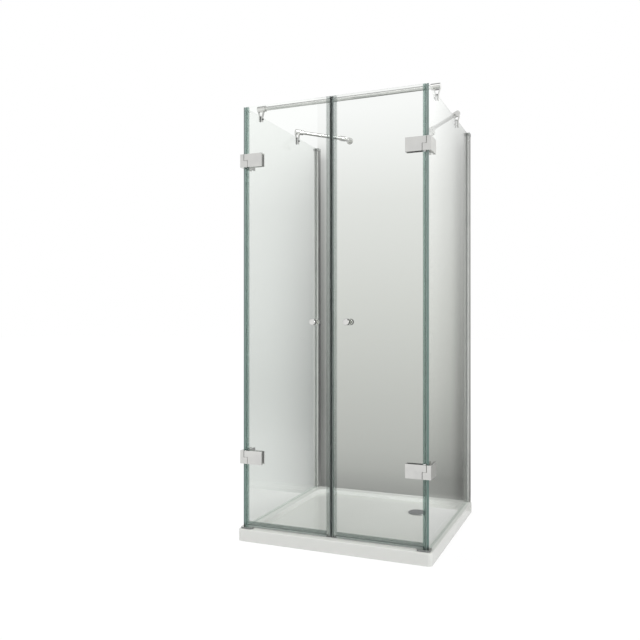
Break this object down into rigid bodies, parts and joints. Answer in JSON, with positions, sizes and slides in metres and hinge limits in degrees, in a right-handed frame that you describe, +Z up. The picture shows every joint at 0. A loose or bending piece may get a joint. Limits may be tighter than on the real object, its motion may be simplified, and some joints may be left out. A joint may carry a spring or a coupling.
{
  "type": "u-shaped shower enclosure",
  "caption": "Frameless glass shower enclosure for a straight wall: side panels, outward hinged doors, stabiliser bar and braces on a low square tray with a corner drain.",
  "frame": {"origin": "centre of the tray's underside, on the floor", "axes": "+X to the right as seen by someone in front of the doors, +Y towards the wall behind, +Z up"},
  "size_m": [0.9, 0.9065, 2.037],
  "materials": {
    "tray": "smooth white gel-coat on cast mineral resin",
    "rubber": "black, smooth",
    "waste_metal": "bright plated brass",
    "white_plastic": "white, moulded",
    "drain_steel": "dark satin disc",
    "glass": "clear toughened glass, green at its edges",
    "clear_seal": "translucent extruded seal",
    "grey_seal": "greyish translucent extruded seal",
    "magnet": "dark magnetic rubber",
    "chrome": "bright chrome plating",
    "aluminium": "satin anodised",
    "cap_plastic": "grey, moulded",
    "steel": "plain stainless",
    "black_steel": "blackened"
  },
  "bodies": {
    "enclosure": {"shower_tray": "tray", "waste_gasket": "rubber", "waste_body": "waste_metal", "waste_nut": "white_plastic", "left_side_panel": "glass", "right_side_panel": "glass", "panel_bottom_seals": "clear_seal", "panel_feet": "chrome", "threshold_rail": "aluminium", "left_wall_profile": "aluminium", "right_wall_profile": "aluminium", "left_adjusting_profile": "aluminium", "right_adjusting_profile": "aluminium", "profile_caps": "cap_plastic", "panel_edge_seals": "rubber", "profile_screws": "steel", "front_bar": "chrome", "bar_clamps": "chrome", "left_brace_tube": "chrome", "right_brace_tube": "chrome", "brace_clamps": "chrome", "clamp_liners": "rubber", "clamp_screws": "black_steel", "brace_ends": "chrome", "wall_rosettes": "chrome", "swivel_pins": "steel", "set_screws": "black_steel", "left_panel_leaves": "chrome", "right_panel_leaves": "chrome", "panel_clamp_plates": "chrome", "panel_gaskets": "rubber", "panel_screws": "steel", "hinge_pins": "steel", "hinge_washers": "white_plastic"},
    "left_door": {"left_door_glass": "glass", "left_magnet_seal": "grey_seal", "left_magnet_strip": "magnet", "left_bottom_seal": "grey_seal", "left_hinge_seal": "clear_seal", "left_knobs": "chrome", "left_knob_stud": "steel", "left_knob_washers": "white_plastic", "left_door_leaves": "chrome", "left_door_clamp_plates": "chrome", "left_door_gaskets": "rubber", "left_door_screws": "steel"},
    "right_door": {"right_door_glass": "glass", "right_magnet_seal": "grey_seal", "right_magnet_strip": "magnet", "right_bottom_seal": "grey_seal", "right_hinge_seal": "clear_seal", "right_knobs": "chrome", "right_knob_stud": "steel", "right_knob_washers": "white_plastic", "right_door_leaves": "chrome", "right_door_clamp_plates": "chrome", "right_door_gaskets": "rubber", "right_door_screws": "steel"},
    "drain_cover": {"drain_cover": "drain_steel"}
  },
  "joints": [
    {"name": "left_door_swing", "type": "hinge", "parent": "enclosure", "child": "left_door", "pos_m": [-0.4165, -0.432, 0], "axis": [0, 0, -1], "range_deg": [0, 100]},
    {"name": "right_door_swing", "type": "hinge", "parent": "enclosure", "child": "right_door", "pos_m": [0.4165, -0.432, 0], "axis": [0, 0, 1], "range_deg": [0, 100]},
    {"name": "drain_cover_lift", "type": "slide", "parent": "enclosure", "child": "drain_cover", "axis": [0, 0, 1], "range_m": [0, 0.12]}
  ]
}
